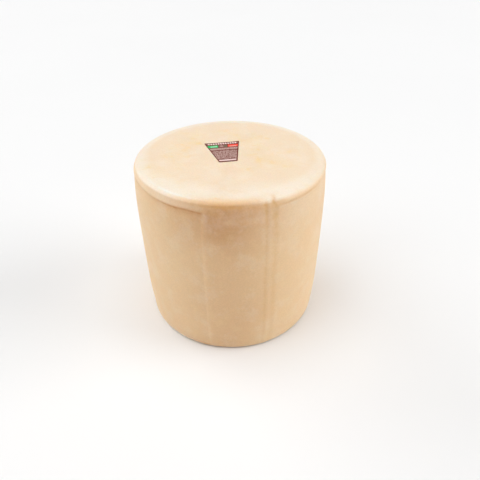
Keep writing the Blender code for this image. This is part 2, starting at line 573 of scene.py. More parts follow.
@dataclass
class PrintPlate:
    """Makes the masks of the label's printed shapes, in millimetres from its middle."""

    bench: NodeBench
    shelf: EffectShelf
    place: Socket
    lean: float
    lozenge_pitch: float = 4.3
    lozenge_up: float = 33.4
    lozenge_slope: float = 0.62
    lozenge_edge: tuple[float, float] = (2.1, 2.4)
    rosette_up: float = 23.0
    ring_radius: float = 2.5
    ring_edge: tuple[float, float] = (0.4, 0.65)
    dot_edge: tuple[float, float] = (1.1, 1.4)

    def block(self, left: float, right: float, bottom: float, top: float,
              leans: tuple[bool, bool] = (True, True)) -> Socket:
        """A printed block.

        Args:
            left: its left edge at the label's mid-height.
            right: its right edge there.
            bottom: its lower edge.
            top: its upper edge.
            leans: whether its left and right edges follow the label's sides.

        Returns:
            The mask's socket.
        """
        left_lean, right_lean = (self.lean if leaning else 0.0 for leaning in leans)
        return self.bench.effect(self.shelf.block, Place=self.place, Left=left, Right=right, Bottom=bottom,
                                 Top=top, Left_Lean=left_lean, Right_Lean=right_lean)

    def lozenges(self) -> Socket:
        """A level row of small lozenges.

        Returns:
            The mask's socket.
        """
        bench = self.bench
        x, y = bench.parts(self.place)
        turns = bench.sum(Sum.OVER, x, self.lozenge_pitch)
        part = bench.sum(Sum.TAKE, turns, bench.sum(Sum.FLOOR, turns))
        from_middle = bench.sum(Sum.SIZE, bench.sum(Sum.TAKE, part, 0.5))
        across = bench.sum(Sum.TIMES, from_middle, self.lozenge_pitch)
        up = bench.sum(Sum.SIZE, bench.sum(Sum.TAKE, y, self.lozenge_up))
        up = bench.sum(Sum.TIMES, up, self.lozenge_slope)
        return bench.fall(bench.sum(Sum.ADD, across, up), *self.lozenge_edge)

    def rosette(self, across: float) -> Socket:
        """A small ring with a dot, between the two colour fields.

        Args:
            across: the ring's place from the label's middle line.

        Returns:
            The mask's socket.
        """
        bench = self.bench
        flat = bench.place("ShaderNodeVectorMath", operation="MULTIPLY")
        bench.feed(flat.inputs[0], self.place)
        bench.feed(flat.inputs[1], (1.0, 1.0, 0.0))
        away = bench.place("ShaderNodeVectorMath", operation="DISTANCE")
        bench.feed(away.inputs[0], flat.outputs[0])
        bench.feed(away.inputs[1], (across, self.rosette_up, 0.0))
        far = away.outputs["Value"]
        from_ring = bench.sum(Sum.SIZE, bench.sum(Sum.TAKE, far, self.ring_radius))
        ring = bench.fall(from_ring, *self.ring_edge)
        dot = bench.fall(far, *self.dot_edge)
        return bench.sum(Sum.MOST, ring, dot)


@dataclass(frozen=True)
class PrintFinish:
    """Satin label print: a dark ground with a tricolour strip, plain ornament and pale bars.

    Its places are millimetres from the label's middle. A bar or field is its left and right edges,
    then its lower and upper ones. A row of dashes is its lower and upper edges, its pitch,
    thickness and length of dash, and how much of it is filled.
    """

    ground: Tone = Tone(124, 54, 40)
    pale: Tone = Tone(248, 220, 214)
    haze: Tone = Tone(230, 200, 190)
    wash: Tone = Tone(154, 111, 101)
    green: Tone = Tone(34, 194, 106)
    light_green: Tone = Tone(176, 236, 196)
    red: Tone = Tone(255, 78, 62)
    light_red: Tone = Tone(255, 186, 170)
    moss: Tone = Tone(96, 118, 84)
    roughness: tuple[float, float] = (0.40, 0.56)
    worn_ground: float = 0.8
    grain_depth: float = 0.00003
    enlargement: float = 1000.0
    margin: float = 1.6
    small_print_margin: float = 2.0
    foot_margin: float = 2.2
    half_gap: float = 8.6
    strip: tuple[float, float] = (18.2, 27.6)
    lozenge_row: tuple[float, float] = (29.2, 37.2)
    foot_bar: tuple[float, float] = (-34.3, -29.6)
    green_bar: tuple[float, float, float, float] = (-17.5, -10.4, 20.6, 24.2)
    red_bar: tuple[float, float, float, float] = (11.0, 19.0, 19.4, 22.2)
    middle_field: tuple[float, float, float, float] = (-7.6, 7.6, 17.6, 28.4)
    rosettes: tuple[float, float] = (-2.6, 4.6)
    rows: tuple[tuple[float, ...], ...] = (
        (8.6, 15.8, 3.6, 2.0, 4.6, 0.66),
        (-27.4, 5.6, 2.52, 1.15, 3.1, 0.54))

    def build(self, shelf: EffectShelf, label: "Label") -> bpy.types.Material:
        """Build the material.

        Args:
            shelf: the shared effects.
            label: the label that the print fits.

        Returns:
            The material.
        """
        coat = Coat("label_print")
        bench, here = coat.bench, coat.here
        grown = bench.place("ShaderNodeVectorMath", operation="SCALE")
        bench.feed(grown.inputs[0], here)
        grown.inputs["Scale"].default_value = self.enlargement
        plate = PrintPlate(bench, shelf, grown.outputs[0], label.lean)
        grain = bench.effect(shelf.grain, Place=here, Scale=1500.0, Pit_Scale=600.0, Pits=0.2)
        worn = bench.effect(shelf.patches, Place=here, Scale=120.0, From=0.4, To=0.7, Ragged=0.6)
        return coat.dress(
            Base_Color=self.paint(plate, 0.5 * self.enlargement * label.mean_width),
            Normal=bench.bump(grain, self.grain_depth),
            Roughness=bench.between(worn, *self.roughness))

    def paint(self, plate: PrintPlate, half: float) -> Socket:
        """Lay the printed fields over the ground.

        Args:
            plate: makes the fields' masks.
            half: half the label's mean width, in millimetres.

        Returns:
            The colour's socket.
        """
        bench, margin, gap = plate.bench, self.margin, self.half_gap
        left, right, neither = (True, False), (False, True), (False, False)
        ground = bench.lay(self.ground.linear(), self.ground.linear(self.worn_ground), 0.5)
        row = plate.block(-half + 2.0 * margin, half - 2.0 * margin, *self.lozenge_row)
        middle = bench.sum(Sum.TIMES, plate.block(*self.middle_field, neither), 0.6)
        pale_ring, moss_ring = (plate.rosette(across) for across in self.rosettes)
        colour = bench.coats(
            ground,
            (self.green, plate.block(-half + margin, -gap, *self.strip, left)),
            (self.light_green, plate.block(*self.green_bar, left)),
            (self.red, plate.block(gap, half - margin, *self.strip, right)),
            (self.light_red, plate.block(*self.red_bar, right)),
            (self.wash, middle),
            (self.pale, bench.sum(Sum.TIMES, row, plate.lozenges())),
            (self.haze, bench.sum(Sum.TIMES, pale_ring, 0.7)),
            (self.moss, moss_ring))
        inner = half - self.small_print_margin
        for bottom, top, pitch, thickness, dash, filled in self.rows:
            area = plate.block(-inner, inner, bottom, top)
            dashes = bench.effect(plate.shelf.dashes, Place=plate.place, Pitch=pitch, Thickness=thickness,
                                  Dash=dash, Filled=filled)
            colour = bench.coats(colour, (self.wash, bench.sum(Sum.TIMES, area, 0.5)),
                                 (self.haze, bench.sum(Sum.TIMES, area, dashes)))
        inner = half - self.foot_margin
        return bench.coats(colour, (self.pale, plate.block(-inner, inner, *self.foot_bar)))


@dataclass(frozen=True)
class PaperFinish:
    """Bare paper, at the label's cut edge and underneath."""

    tone: Tone = Tone(236, 228, 214)
    fibre_gain: float = 0.86
    roughness: float = 0.85
    grain_depth: float = 0.00004

    def build(self, shelf: EffectShelf) -> bpy.types.Material:
        """Build the material.

        Args:
            shelf: the shared effects.

        Returns:
            The material.
        """
        coat = Coat("label_paper")
        bench = coat.bench
        fibre = bench.effect(shelf.patches, Place=coat.here, Scale=900.0, From=0.3, To=0.7, Ragged=0.5)
        grain = bench.effect(shelf.grain, Place=coat.here, Scale=1800.0, Pit_Scale=900.0, Pits=0.2)
        return coat.dress(
            Base_Color=bench.lay(self.tone.linear(), self.tone.linear(self.fibre_gain), fibre),
            Normal=bench.bump(grain, self.grain_depth),
            Roughness=self.roughness)


@dataclass(frozen=True)
class FloorFinish:
    """Matt pale studio floor."""

    tone: Tone = Tone(246, 246, 246)
    cloud_gain: float = 0.99
    roughness: float = 0.9
    gloss: float = 0.2

    def build(self, shelf: EffectShelf) -> bpy.types.Material:
        """Build the material.

        Args:
            shelf: the shared effects.

        Returns:
            The material.
        """
        coat = Coat("studio_floor")
        cloud = coat.bench.effect(shelf.patches, Place=coat.here, Scale=0.8, From=0.3, To=0.8, Ragged=0.2)
        return coat.dress(
            Base_Color=coat.bench.lay(self.tone.linear(), self.tone.linear(self.cloud_gain), cloud),
            Roughness=self.roughness,
            Specular_IOR_Level=self.gloss)


@dataclass
class SoftWaves:
    """Smooth unevenness in space: a few plane waves in random directions."""

    seed: int
    wavelength: float
    count: int = 14

    def __post_init__(self) -> None:
        """Draw the waves."""
        draw = np.random.default_rng(self.seed)
        way = draw.normal(size=(self.count, 3))
        way /= np.linalg.norm(way, axis=1)[:, None]
        length = self.wavelength * draw.uniform(0.6, 1.7, self.count)
        self.numbers = way * (2.0 * math.pi / length)[:, None]
        self.phases = draw.uniform(0.0, 2.0 * math.pi, self.count)

    def at(self, points: np.ndarray) -> np.ndarray:
        """Read the unevenness.

        Args:
            points: positions, with x, y and z along the last axis.

        Returns:
            One number a point, mostly between -1 and 1.
        """
        total = np.zeros(points.shape[:-1])
        for number, phase in zip(self.numbers, self.phases):
            total += np.cos(points @ number + phase)
        return total / math.sqrt(2.0 * self.count)


def ease(value: np.ndarray, low: float | np.ndarray, high: float | np.ndarray) -> np.ndarray:
    """Ease from 0 to 1 as a value passes a range.

    Args:
        value: the values.
        low: where the change starts.
        high: where it ends.

    Returns:
        The eased values.
    """
    share = np.clip((value - low) / (high - low), 0.0, 1.0)
    return share * share * (3.0 - 2.0 * share)


def hump(value: np.ndarray, width: float | np.ndarray) -> np.ndarray:
    """A rounded hump of height 1 at 0 that fades over a width."""
    return np.exp(-(value / width) ** 2)


def turned(angle: np.ndarray, start: float) -> np.ndarray:
    """How far an angle in degrees lies past another, from 0 to 360."""
    return np.mod(angle - start, 360.0)


def apart(angle: np.ndarray, other: np.ndarray | float) -> np.ndarray:
    """How far an angle in degrees lies from another, from -180 to 180."""
    return np.mod(angle - other + 180.0, 360.0) - 180.0


def put_in_scene(name: str, data: bpy.types.ID) -> bpy.types.Object:
    """Make an object of a mesh, camera or light, and link it into the scene.

    Args:
        name: the object's name.
        data: what it shows.

    Returns:
        The object.
    """
    item = bpy.data.objects.new(name, data)
    bpy.context.scene.collection.objects.link(item)
    return item


@dataclass
class DrumProfile:
    """The drum's outline from the middle of its upper face, over the shoulder, to the foot."""

    height: float
    girth_radius: float
    fullness: float = 6.5 * MM
    evenness: int = 4
    shoulder: float = 7.8 * MM
    brow_width: float = 24.0 * MM
    brow_drop: float = 0.8 * MM
    face_rings: int = 17
    brow_rings: int = 10
    shoulder_rings: int = 11

    @property
    def shoulder_z(self) -> float:
        """Height where the upper shoulder meets the side."""
        return self.height - self.brow_drop - self.shoulder

    @property
    def shoulder_r(self) -> float:
        """Radius of the centre line of the shoulder's round."""
        return float(self.side(self.shoulder_z)) - self.shoulder

    def side(self, z: np.ndarray | float) -> np.ndarray | float:
        """Radius of the full side at a height."""
        share = 2.0 * np.asarray(z) / self.height - 1.0
        return self.girth_radius - self.fullness * np.abs(share) ** self.evenness

    def face(self) -> list[tuple[float, float]]:
        """Radius and height of the rings on the upper face, brow and shoulder, from the middle out.

        Returns:
            The rings, without the middle point itself.
        """
        start = self.shoulder_r - self.brow_width
        rings = [(start * ring / self.face_rings, self.height) for ring in range(1, self.face_rings)]
        for ring in range(self.brow_rings):
            share = ring / self.brow_rings
            drop = self.brow_drop * (1.0 - math.cos(0.5 * math.pi * share))
            rings.append((start + self.brow_width * share, self.height - drop))
        for ring in range(self.shoulder_rings):
            angle = 0.5 * math.pi * ring / self.shoulder_rings
            rings.append((self.shoulder_r + self.shoulder * math.sin(angle),
                          self.shoulder_z + self.shoulder * math.cos(angle)))
        return rings

    def side_heights(self) -> list[float]:
        """Heights of the rings on the side, close together near the band's two edges.

        Returns:
            Heights from the upper shoulder down to the lower one.
        """
        foot = self.height - self.shoulder_z
        top, under_top = self.height - 19.0 * MM, self.height - 47.0 * MM
        stops = ((self.shoulder_z, 0.85 * MM), (top, 2.0 * MM), (under_top, 4.2 * MM),
                 (30.0 * MM, 2.4 * MM), (17.0 * MM, 1.0 * MM), (foot, 1.0))
        heights = []
        for (upper, pitch), (lower, _) in zip(stops, stops[1:]):
            count = max(1, round((upper - lower) / pitch))
            heights += [upper + (lower - upper) * ring / count for ring in range(count)]
        return heights + [foot]

    def rings(self) -> np.ndarray:
        """All rings from the upper face's middle to the lower one's.

        Returns:
            One row a ring: radius, height, and the outward normal's radial and upward parts.
        """
        upper = self.face()
        side = [(float(self.side(z)), z) for z in self.side_heights()]
        lower = [(r, self.height - z) for r, z in reversed(upper)]
        points = np.array(upper + side + lower)
        along = np.gradient(points, axis=0)
        normal = np.stack([-along[:, 1], along[:, 0]], axis=1)
        normal /= np.linalg.norm(normal, axis=1)[:, None]
        return np.concatenate([points, normal], axis=1)


@dataclass
class SkinPoints:
    """The drum's points on its plain outline, ring by ring, as the marks and masks read them.

    Angles are in degrees. Outward and upward are the two parts of the outline's normals, wobble
    and breaks slower and quicker unevenness round the drum, from -1 to 1.
    """

    height: float
    angle: np.ndarray
    radius: np.ndarray
    z: np.ndarray
    outward: np.ndarray
    upward: np.ndarray
    wobble_waves: SoftWaves
    break_waves: SoftWaves
    wave_radius: float = 0.16

    def __post_init__(self) -> None:
        """Work out the places that follow from the angles, radii and heights."""
        turn = np.radians(self.angle)
        across, up = np.cos(turn), np.sin(turn)
        self.x, self.y = self.radius * across, self.radius * up
        self.points = np.stack([self.x, self.y, self.z], axis=-1)
        self.below = self.height - self.z
        self.from_face = np.minimum(self.below, self.height - self.below)
        self.upper = self.z > 0.5 * self.height
        ring = np.stack([self.wave_radius * across, self.wave_radius * up, np.zeros_like(turn)], axis=-1)
        self.wobble, self.breaks = self.wobble_waves.at(ring), self.break_waves.at(ring)

    def near(self, middle: np.ndarray | float, width: np.ndarray | float) -> np.ndarray:
        """A rounded hump of height 1 at an angle that fades over some degrees."""
        return hump(apart(self.angle, middle), width)

    def past(self, middle: float, low: float, high: float) -> np.ndarray:
        """Ease from 0 to 1 round the drum, from one place beside an angle to another."""
        return ease(apart(self.angle, middle), low, high)

    def deeper(self, low: float, high: float) -> np.ndarray:
        """Ease from 0 to 1 down the side, between two depths below the top in millimetres."""
        return ease(self.below, low * MM, high * MM)


@dataclass(frozen=True)
class Sector:
    """A stretch of the rim: the angles of its two soft ends, and how far each fades to both sides."""

    start: float
    start_fade: float
    end: float
    end_fade: float

    def share(self, at: SkinPoints) -> np.ndarray:
        """How far each point lies inside, from 0 to 1."""
        started = at.past(self.start, -self.start_fade, self.start_fade)
        return started * (1.0 - at.past(self.end, -self.end_fade, self.end_fade))


@dataclass
class BandTrace:
    """What the band left at each point: depths, heights and distances in metres, strengths from 0 to 1. The
    upper line's strength holds painted shade at and below the band's edge.
    """

    hollow: np.ndarray
    bead: np.ndarray
    groove: np.ndarray
    upper_line_shade: np.ndarray
    lower_line: np.ndarray
    first_part: np.ndarray
    past_edge: np.ndarray


@dataclass(frozen=True)
class MouldMarks:
    """What the mould pressed into the side: a wide band's hollow, its edge lines and its seams.

    The band's start and the seams are angles in degrees, and its span is how far round it goes.
    Its margin is how far below the top its upper edge lies near its end, and its rise how much
    higher it lies at its start.
    """

    depth: float = 1.2 * MM
    bead: float = 0.3 * MM
    margin: float = 13.0 * MM
    rise: float = 3.8 * MM
    early_rise: float = 0.8 * MM
    end_dip: float = 2.6 * MM
    left_dip: float = 0.8 * MM
    waver: float = 0.5 * MM
    start: float = -73.5
    span: float = 321.0
    seams: tuple[float, float] = (-80.3, -74.6)
    rib_below: float = 15.0 * MM

    def edge_below(self, past: np.ndarray, wobble: np.ndarray) -> np.ndarray:
        """How far the band's edge lies below the top.

        Args:
            past: degrees past the band's start.
            wobble: unevenness from -1 to 1.

        Returns:
            Distances in metres.
        """
        to_come = 1.0 - np.clip(past / self.span, 0.0, 1.0)
        dip = self.end_dip * ease(past, self.span - 13.0, self.span)
        dip += self.left_dip * hump(past - self.span + 29.0, 21.0)
        slant = self.margin - self.rise * to_come - self.early_rise * to_come ** 2
        return slant + self.waver * wobble + dip

    def trace(self, at: SkinPoints) -> BandTrace:
        """Work out what the band left at each point.

        Args:
            at: the drum's points.

        Returns:
            The band's trace.
        """
        past = turned(at.angle, self.start)
        covered = ease(past, -0.3, 2.2) * (1.0 - ease(past, self.span - 2.4, self.span))
        deeper = ease(past, 28.0, 66.0)
        past_upper = at.below - self.edge_below(past, at.wobble)
        past_lower = at.z - (2.0 * self.margin - self.rise - self.edge_below(past, -at.wobble))
        inside, bead = 1.0, 0.0
        for inwards in (past_upper, past_lower):
            inside = inside * ease(inwards, -1.0 * MM, 1.8 * MM)
            bead = bead + hump(inwards + 2.3 * MM, 1.5 * MM)
        strong_end = ease(past, self.span - 44.0, self.span - 12.0) - 0.22 * (1.0 - ease(past, 30.0, 60.0))
        strength = np.clip(0.3 + 0.14 * at.breaks + 0.6 * strong_end, 0.1, 1.0) * covered
        past_edge = past_upper - 0.8 * MM
        # Painted shadow: a soft dark tail below the band's edge, where its step shades the side.
        shadow_tail = deeper * hump(past_edge, 6.5 * MM) * ease(past_edge, -1.0 * MM, 0.5 * MM)
        lower_line = strength * hump(past_lower - 0.4 * MM, 1.2 * MM)
        return BandTrace(
            hollow=self.depth * covered * inside * (0.25 + 0.75 * deeper),
            bead=bead * (self.bead * covered * (0.5 + 0.5 * deeper)),
            groove=(strength * hump(past_edge, 1.3 * MM) + lower_line) * (0.3 + 0.7 * deeper),
            upper_line_shade=strength * (0.56 * hump(past_edge, 1.8 * MM) + 0.44 * shadow_tail),
            lower_line=lower_line,
            first_part=covered * (1.0 - ease(past, 20.0, 38.0)),
            past_edge=past_edge)

    def rib(self, at: SkinPoints) -> np.ndarray:
        """A short rib line under the band's edge, near its start.

        Args:
            at: the drum's points.

        Returns:
            Strengths from 0 to 1.
        """
        past = turned(at.angle, self.start)
        length = ease(past, 1.5, 4.0) * (1.0 - ease(past, 30.0, 44.0))
        return length * (0.75 + 0.25 * at.breaks) * hump(at.below - self.rib_below, 1.0 * MM)


@dataclass
class Drum:
    """The whole cheese as one closed skin with the mould's marks and a soft natural unevenness.

    Each stretch of columns is its first angle, its last and the pitch, in degrees. Rounding and
    bevel are how far each reaches in over the face and down the side, and upright is what the
    rounding's reaches gain near the seams. A place is an angle and how far round it fades, in
    degrees. Front, fold, brow and back are angles. Each patch is where it lies across and
    up the face and its size, in millimetres, and its strength.
    """

    low: Vector
    high: Vector
    stretches: tuple[tuple[float, float, float], ...] = (
        (-118.0, -66.0, 0.3), (-66.0, -30.0, 0.5), (-30.0, 242.0, 0.8))
    rounding: tuple[float, float] = (4.6 * MM, 17.6 * MM)
    bevel: tuple[float, float] = (4.5 * MM, 13.0 * MM)
    upright: tuple[float, float] = (-1.0 * MM, 2.0 * MM)
    rim_fade: tuple[float, float] = (-6.0 * MM, 5.0 * MM)
    bevel_place: tuple[float, float] = (-148.0, 32.0)
    streaky_place: tuple[float, float] = (-28.0, 26.0)
    right_place: tuple[float, float] = (-40.0, 34.0)
    lip_place: tuple[float, float] = (-88.0, 6.0)
    lit_field_place: tuple[float, float] = (-57.0, 24.0)
    front_stain_and_shade_place: tuple[float, float] = (-102.0, 16.0)
    front_side_shade_place: tuple[float, float] = (-100.5, 24.0)
    right_side_shade_place: tuple[float, float] = (-12.0, 24.0)
    groove_depth: float = 0.14 * MM
    seam_depths: tuple[float, float] = (0.3 * MM, 0.12 * MM)
    rib_depth: float = 0.3 * MM
    ridge_height: float = 0.45 * MM
    fold_height: float = 0.4 * MM
    wave_depth: float = 0.55 * MM
    lump_depth: float = 0.16 * MM
    streak_depth: float = 0.14 * MM
    face_unevenness: float = 0.32 * MM
    front: float = -101.0
    fold: float = -111.9
    brow: float = -138.0
    back: float = 80.0
    beside_seams: Sector = Sector(-124.5, 9.5, -73.5, 6.5)
    front_rim_shade_sector: Sector = Sector(-132.0, 11.0, -73.5, 6.5)
    toned_bevel: Sector = Sector(-155.0, 7.0, -121.0, 9.0)
    golden_lip: Sector = Sector(-120.0, 6.0, -95.0, 4.0)
    patches: tuple[tuple[float, float, float, float], ...] = (
        (-51, 63, 11, 1.0), (-62, 54, 9, 1.0), (-101, 15, 12, 1.0), (-90, 23, 9, 1.0), (-78, 31, 11, 1.0),
        (57, 64, 10, 1.0), (77, 56, 10, 1.0), (66, 60, 8, 1.0), (55, -11, 11, 1.0), (36, -7, 10, 1.0),
        (46, -4, 8, 1.0), (-127, -41, 12, 1.0), (106, -5, 11, 1.0), (8, 96, 13, 1.0), (-40, 92, 10, 1.0),
        (30, 104, 9, 1.0), (-68, 58, 25, 1.0), (-84, 12, 19, 1.0), (-52, 88, 16, 1.0), (42, 42, 22, 1.0),
        (44, 10, 20, 1.0), (52, -18, 24, 1.0), (72, -46, 17, 1.0), (28, 74, 18, 1.0), (-85, -21, 12, 1.0),
        (-131, -16, 11, 1.0), (-55, 62, 18, 1.8), (-63, -121, 10, 0.4), (-46, -130, 9, 0.45),
        (-28, -134, 9, 0.5), (55, 58, 16, 1.4), (53, -30, 14, 1.4), (18, -52, 12, 0.9),
        (-80, -106, 10, 0.45))

    def __post_init__(self) -> None:
        """Set up the outline, the marks and the unevenness."""
        self.height = self.high.z - self.low.z
        self.profile = DrumProfile(self.height, -self.low.y)
        self.rim_r = self.profile.shoulder_r
        self.marks = MouldMarks()
        self.slow = SoftWaves(11, 150.0 * MM)
        self.lumps = SoftWaves(12, 46.0 * MM, 24)
        self.wobble = SoftWaves(13, 60.0 * MM)
        self.breaks = SoftWaves(14, 34.0 * MM, 20)
        self.streaks = SoftWaves(15, 9.0 * MM, 26)

    def angles(self) -> np.ndarray:
        """Angles of the columns in degrees, closest where the band's ends show.

        Returns:
            Angles over one full turn.
        """
        parts = []
        for start, end, pitch in self.stretches:
            parts.append(np.linspace(start, end, round((end - start) / pitch), endpoint=False))
        return np.concatenate(parts)

    def face_dip(self, x: np.ndarray, y: np.ndarray) -> np.ndarray:
        """How far the upper face lies below its flat plane.

        Args:
            x: positions across.
            y: positions up the face.

        Returns:
            Depths in metres, never below 0.
        """
        points = np.stack([x, y, np.full_like(x, self.height)], axis=-1)
        wave = 0.5 + 0.30 * self.slow.at(points) + 0.12 * self.lumps.at(points)
        return self.face_unevenness * np.clip(wave, 0.0, 1.2)

    def relief(self, at: SkinPoints) -> tuple[np.ndarray, dict[str, np.ndarray]]:
        """Work out how far each point lies off the plain outline, and the rind's masks.

        Args:
            at: the drum's points.

        Returns:
            Offsets along the normal, and the masks by name.
        """
        side = ease(at.outward, 0.25, 0.95)
        band = self.marks.trace(at)
        rib = self.marks.rib(at)
        seam_a, seam_b = self.seam_marks(at)
        deep_a, deep_b = self.seam_depths
        offset = -band.hollow - self.groove_depth * band.groove + band.bead * side
        offset += self.ridges(at, side) - deep_a * seam_a - deep_b * seam_b - self.rib_depth * rib
        offset -= side * self.unevenness(at) + self.worn_rim(at)
        flat = (1.0 - side) * (1.0 - ease(at.outward, 0.0, 0.2))
        offset -= flat * np.where(at.upper, self.face_dip(at.x, at.y), 0.0)
        # Partly the marks' own tint, partly painted shade in the band's lines, the seam and the rib.
        crease_tint_and_shade = 1.1 * band.upper_line_shade + 0.5 * band.lower_line + 0.1 * seam_a + 0.2 * rib
        # Partly real stain on the seams and the band's edge, partly painted shade at the front shoulder.
        stain_and_shade = self.stain_and_shade_mask(at) + 0.55 * seam_a + 0.62 * seam_b
        stain_and_shade += 0.26 * band.first_part * hump(band.past_edge, 1.3 * MM)
        pale = self.pale_mask(at) + 0.7 * band.first_part * hump(band.past_edge - 4.6 * MM, 2.0 * MM)
        masks = {
            "side": self.side_mask(at),
            "rim": self.rim_mask(at),
            "crease_tint_and_shade": np.clip(crease_tint_and_shade, 0.0, 1.0),
            "stain_and_shade": np.clip(stain_and_shade, 0.0, 1.0),
            "patch": self.patch_mask(at),
            "side_shade": self.side_shade_mask(at),
            "pale": pale,
            "brow_highlight": self.brow_highlight_mask(at)}
        return offset, masks

    def worn_rim(self, at: SkinPoints) -> np.ndarray:
        """How far the rim is rounded off: evenly beside the seams, and as a long bevel left of there.

        A point goes in along its normal until it lies on an ellipse over the shoulder.

        Args:
            at: the drum's points.

        Returns:
            Depths in metres.
        """
        front = self.beside_seams.share(at)
        left = (1.0 - front) * at.near(*self.bevel_place)
        near_seams = front * at.past(-92.0, -8.0, 8.0)
        wide, tall = (even * front + slope * left + gain * near_seams
                      for even, slope, gain in zip(self.rounding, self.bevel, self.upright))
        across = at.radius - self.rim_r + wide
        up = at.z - self.profile.shoulder_z + tall
        fade = ease(across, *self.rim_fade) * ease(up, *self.rim_fade)
        wide, tall = wide + self.profile.shoulder, tall + self.profile.shoulder
        across, up = np.maximum(across, 0.0) / wide, np.maximum(up, 0.0) / tall
        out, rise = at.outward / wide, at.upward / tall
        onto, steep = across * out + up * rise, out ** 2 + rise ** 2
        room = onto ** 2 - steep * (across ** 2 + up ** 2 - 1.0)
        depth = (onto - np.sqrt(np.clip(room, 0.0, None))) / steep
        return np.clip(depth, 0.0, None) * fade * ease(front + left, 0.0, 0.25)

    def seam_marks(self, at: SkinPoints) -> tuple[np.ndarray, np.ndarray]:
        """The two upright seams beside the band's start, which notch the rim.

        Args:
            at: the drum's points.

        Returns:
            The two seams' strengths from 0 to 1.
        """
        first, second = self.marks.seams
        past_rim = at.radius - self.rim_r
        sway = 0.16 * np.sin(at.below / (31.0 * MM)) + 0.1 * np.sin(at.below / (12.0 * MM))
        fade = (0.4 + 0.6 * hump(at.below - 4.0 * MM, 26.0 * MM)) * ease(at.z, 0.3 * MM, 6.0 * MM)
        lean_a = 0.7 * (1.0 - at.deeper(0.5, 5.0))
        seam_a = at.near(first + lean_a + sway, 1.05) * ease(past_rim, -1.0 * MM, 5.0 * MM)
        lean_b = 1.2 * (1.0 - ease(past_rim, -6.0 * MM, 4.0 * MM))
        lean_b -= 0.95 - 0.3 * at.deeper(30.0, 60.0)
        width = 1.3 + 0.7 * at.deeper(2.0, 9.0)
        seam_b = at.near(second + lean_b + sway, width) * ease(past_rim, -14.0 * MM, -1.0 * MM)
        return seam_a * fade, seam_b * fade

    def ridges(self, at: SkinPoints, side: np.ndarray) -> np.ndarray:
        """Proud strips: between the seams, and beside the band's far end.

        Args:
            at: the drum's points.
            side: 1 on the side and 0 on the faces.

        Returns:
            Heights in metres.
        """
        first, second = self.marks.seams
        between = self.ridge_height * at.near(0.5 * (first + second) - 0.8, 1.7) * side
        length = at.deeper(14.0, 19.0) * (1.0 - 0.75 * at.deeper(34.0, 50.0))
        fold = self.fold_height * at.near(self.fold, 1.5) * length * side
        return between + fold * (1.0 - at.deeper(200.0, 290.0))

    def unevenness(self, at: SkinPoints) -> np.ndarray:
        """Slow waves, lumps and fine upright streaks on the side.

        Args:
            at: the drum's points.

        Returns:
            Depths in metres, never below 0.
        """
        slow = self.wave_depth * (0.5 + 0.35 * self.slow.at(at.points))
        lumps = self.lump_depth * (0.5 + 0.4 * self.lumps.at(at.points))
        drawn_out = at.points * (1.0, 1.0, 0.06)
        streaky = (0.35 + 0.65 * at.near(*self.streaky_place)) * at.deeper(9.0, 16.0)
        streaks = self.streak_depth * (0.5 + 0.4 * self.streaks.at(drawn_out)) * streaky
        return np.clip(slow + lumps + streaks, 0.0, None)

    def front_rim_shade(self, at: SkinPoints) -> np.ndarray:
        """Painted shade at the front rim: where the side's darker tone starts on the face, round the front;
        it fades out towards the seams.
        """
        fading = 1.0 - 0.22 * at.past(self.front, 1.0, 17.0)
        return self.front_rim_shade_sector.share(at) * fading * (1.0 - 0.75 * at.past(self.front, 16.0, 24.0))

    def onto_face(self, at: SkinPoints, start: float) -> np.ndarray:
        """How far the side's tone, painted there as shade, has come in over the front, later on the left.

        Args:
            at: the drum's points.
            start: where it starts, in metres inside the shoulder.

        Returns:
            Strengths from 0 to 1.
        """
        left = 1.0 - at.past(-112.0, -10.0, 8.0)
        inner = self.rim_r - start * (1.0 - 0.45 * left)
        return ease(at.radius, inner, inner + (14.0 - 6.5 * left) * MM)

    def side_mask(self, at: SkinPoints) -> np.ndarray:
        """Where the side's tone shows; beside the seams it starts higher, on the face itself, as painted
        shade.

        Args:
            at: the drum's points.

        Returns:
            Strengths from 0 to 1.
        """
        left = self.toned_bevel.share(at)
        right = 0.16 * at.near(*self.right_place)
        usual = ease(at.outward, 0.35 - 0.32 * left + right, 0.98 - 0.2 * left + 0.5 * right)
        # Painted shade: at the front the side's tone comes in over the face.
        return np.maximum(usual, self.front_rim_shade(at) * self.onto_face(at, 14.2 * MM))

    def rim_mask(self, at: SkinPoints) -> np.ndarray:
        """The pale ring round each face, which fades down the shoulder, sooner beside the seams; it also
        lays painted light on the strip under the left brow and a painted highlight on that brow.

        Args:
            at: the drum's points.

        Returns:
            Strengths from 0 to 1.
        """
        ring = self.pale_ring(at)
        front = self.front_rim_shade(at)
        later = 0.22 * at.past(-60.0, -24.0, 20.0) + 0.16 * at.near(*self.right_place)
        later -= 0.2 * self.toned_bevel.share(at)
        usual = 1.0 - 0.85 * ease(at.outward, later - 0.1, later + 0.7)
        usual -= 0.15 * ease(at.from_face, 7.0 * MM, 15.0 * MM)
        # Painted shade: at the front the pale ring gives way to the side's tone on the face.
        shown = usual * (1.0 - front) + (1.0 - self.onto_face(at, 18.0 * MM)) * front
        # Painted light: the rim's tone runs down over the strip below the left brow.
        strip = 0.26 * at.near(self.brow, 32.0) * (1.0 - ease(at.from_face, 9.0 * MM, 15.0 * MM))
        # Painted highlight: the ring is fuller at the left brow.
        fullness = 0.8 + 0.14 * at.near(self.brow, 22.0) + 0.08 * at.breaks
        return ring * fullness * (shown + strip * (1.0 - shown))

